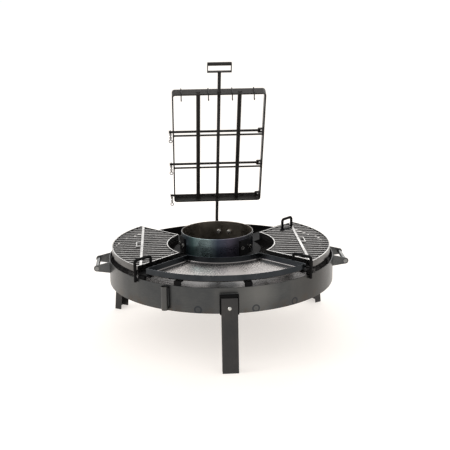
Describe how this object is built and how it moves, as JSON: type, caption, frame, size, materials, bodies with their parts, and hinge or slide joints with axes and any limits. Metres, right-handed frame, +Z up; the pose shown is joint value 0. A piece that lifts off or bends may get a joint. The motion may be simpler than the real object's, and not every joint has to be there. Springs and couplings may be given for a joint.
{
  "type": "fire pit with grate",
  "caption": "Round steel fire pit on three bolted legs with lift-out grates and griddle tray, a fire ring and a swivelling grill rack on a mast.",
  "frame": {"origin": "centre of the object's footprint on the ground, on the bowl's vertical axis", "axes": "+Z up, -Y towards the front leg, +X to the right of a viewer at the front"},
  "size_m": [0.904, 0.8941, 0.9422],
  "materials": {
    "rolled_steel": "dark mill-scale rolled steel, satin, heat marks at the welds",
    "floor_steel": "dark brownish sheet steel, satin",
    "leg_steel": "dark grey folded sheet steel, satin",
    "black_steel": "black heat-proof paint, satin",
    "zinc": "bright zinc-plated steel",
    "carry_steel": "laser-cut steel plate, grey",
    "grip_steel": "round steel rod, light grey",
    "tray_steel": "oiled sheet steel, brownish and glossy",
    "grate_steel": "bright brushed steel",
    "bar_steel": "drawn steel bar, dulled by use",
    "ring_steel": "blued steel with teal and violet heat tint",
    "rack_steel": "blackened steel with a brown cast, satin",
    "chain_steel": "dark oiled steel wire"
  },
  "bodies": {
    "base": {"bowl_wall": "rolled_steel", "bowl_floor": "floor_steel", "leg_front": "leg_steel", "leg_rear_right": "leg_steel", "leg_rear_left": "leg_steel", "leg_brackets": "black_steel", "leg_bolts": "zinc", "leg_nuts": "zinc", "carry_plates_left": "carry_steel", "carry_plates_right": "carry_steel", "carry_grip_left": "grip_steel", "carry_grip_right": "grip_steel", "accessory_socket": "rolled_steel", "mast_socket": "rolled_steel", "mast_lock_screw": "zinc", "support_ring": "black_steel", "support_arms": "black_steel", "support_brackets": "black_steel", "rim_tabs": "black_steel"},
    "rack": {"mast": "rack_steel", "rack_frame": "rack_steel", "rack_uprights": "rack_steel", "rack_crossbars": "rack_steel", "rack_hinge_lugs": "rack_steel", "rack_hinge_pins": "rack_steel", "tee_strap": "rack_steel", "tee_grip": "rack_steel"},
    "front_tray": {"tray_front": "tray_steel", "tray_front_handle": "black_steel"},
    "ring": {"fire_ring": "ring_steel", "fire_ring_lugs": "black_steel", "fire_ring_bolts": "zinc", "fire_ring_nuts": "zinc"},
    "left_grate": {"grate_left_frame": "grate_steel", "grate_left_bars": "bar_steel", "grate_left_arc": "bar_steel", "grate_left_strap": "grate_steel", "grate_left_loop": "grate_steel", "grate_left_handle": "black_steel"},
    "right_grate": {"grate_right_frame": "grate_steel", "grate_right_bars": "bar_steel", "grate_right_arc": "bar_steel", "grate_right_strap": "grate_steel", "grate_right_loop": "grate_steel", "grate_right_handle": "black_steel"},
    "bottom_clamp": {"clamp_bar_bottom": "rack_steel"},
    "bottom_chain": {"chain_bottom": "chain_steel"},
    "middle_clamp": {"clamp_bar_middle": "rack_steel"},
    "middle_chain": {"chain_middle": "chain_steel"},
    "top_clamp": {"clamp_bar_top": "rack_steel"},
    "top_chain": {"chain_top": "chain_steel"},
    "hook_1": {"hook_1": "chain_steel"},
    "hook_2": {"hook_2": "chain_steel"},
    "hook_3": {"hook_3": "chain_steel"},
    "hook_4": {"hook_4": "chain_steel"}
  },
  "joints": [
    {"name": "mast_swivel", "type": "hinge", "parent": "base", "child": "rack", "pos_m": [0.00932, 0.41089, 0.26], "axis": [0, 0, 1], "range_deg": [-120, 120]},
    {"name": "bottom_clamp_swing", "type": "hinge", "parent": "rack", "child": "bottom_clamp", "pos_m": [0.16332, 0.37439, 0.40082], "axis": [0, 0.4478, -0.8942], "range_deg": [0, 95]},
    {"name": "bottom_chain_swing", "type": "hinge", "parent": "bottom_clamp", "child": "bottom_chain", "pos_m": [-0.16868, 0.37439, 0.40082], "axis": [1, 0, 0], "range_deg": [-60, 60]},
    {"name": "middle_clamp_swing", "type": "hinge", "parent": "rack", "child": "middle_clamp", "pos_m": [0.16332, 0.30476, 0.53987], "axis": [0, 0.4478, -0.8942], "range_deg": [0, 95]},
    {"name": "middle_chain_swing", "type": "hinge", "parent": "middle_clamp", "child": "middle_chain", "pos_m": [-0.16868, 0.30476, 0.53987], "axis": [1, 0, 0], "range_deg": [-60, 60]},
    {"name": "top_clamp_swing", "type": "hinge", "parent": "rack", "child": "top_clamp", "pos_m": [0.16332, 0.23715, 0.67488], "axis": [0, 0.4478, -0.8942], "range_deg": [0, 95]},
    {"name": "top_chain_swing", "type": "hinge", "parent": "top_clamp", "child": "top_chain", "pos_m": [-0.16868, 0.23715, 0.67488], "axis": [1, 0, 0], "range_deg": [-60, 60]},
    {"name": "hook_1_slide", "type": "slide", "parent": "rack", "child": "hook_1", "axis": [1, 0, 0], "range_m": [-0.018, 0.048]},
    {"name": "hook_2_slide", "type": "slide", "parent": "rack", "child": "hook_2", "axis": [1, 0, 0], "range_m": [-0.025, 0.025]},
    {"name": "hook_3_slide", "type": "slide", "parent": "rack", "child": "hook_3", "axis": [1, 0, 0], "range_m": [-0.033, 0.018]},
    {"name": "hook_4_slide", "type": "slide", "parent": "rack", "child": "hook_4", "axis": [1, 0, 0], "range_m": [-0.04, 0.028]},
    {"name": "left_grate_lift", "type": "slide", "parent": "base", "child": "left_grate", "axis": [0, 0, 1], "range_m": [0, 0.2]},
    {"name": "right_grate_lift", "type": "slide", "parent": "base", "child": "right_grate", "axis": [0, 0, 1], "range_m": [0, 0.2]},
    {"name": "front_tray_lift", "type": "slide", "parent": "base", "child": "front_tray", "axis": [0, 0, 1], "range_m": [0, 0.2]},
    {"name": "fire_ring_lift", "type": "slide", "parent": "base", "child": "ring", "axis": [0, 0, 1], "range_m": [0, 0.2]}
  ]
}
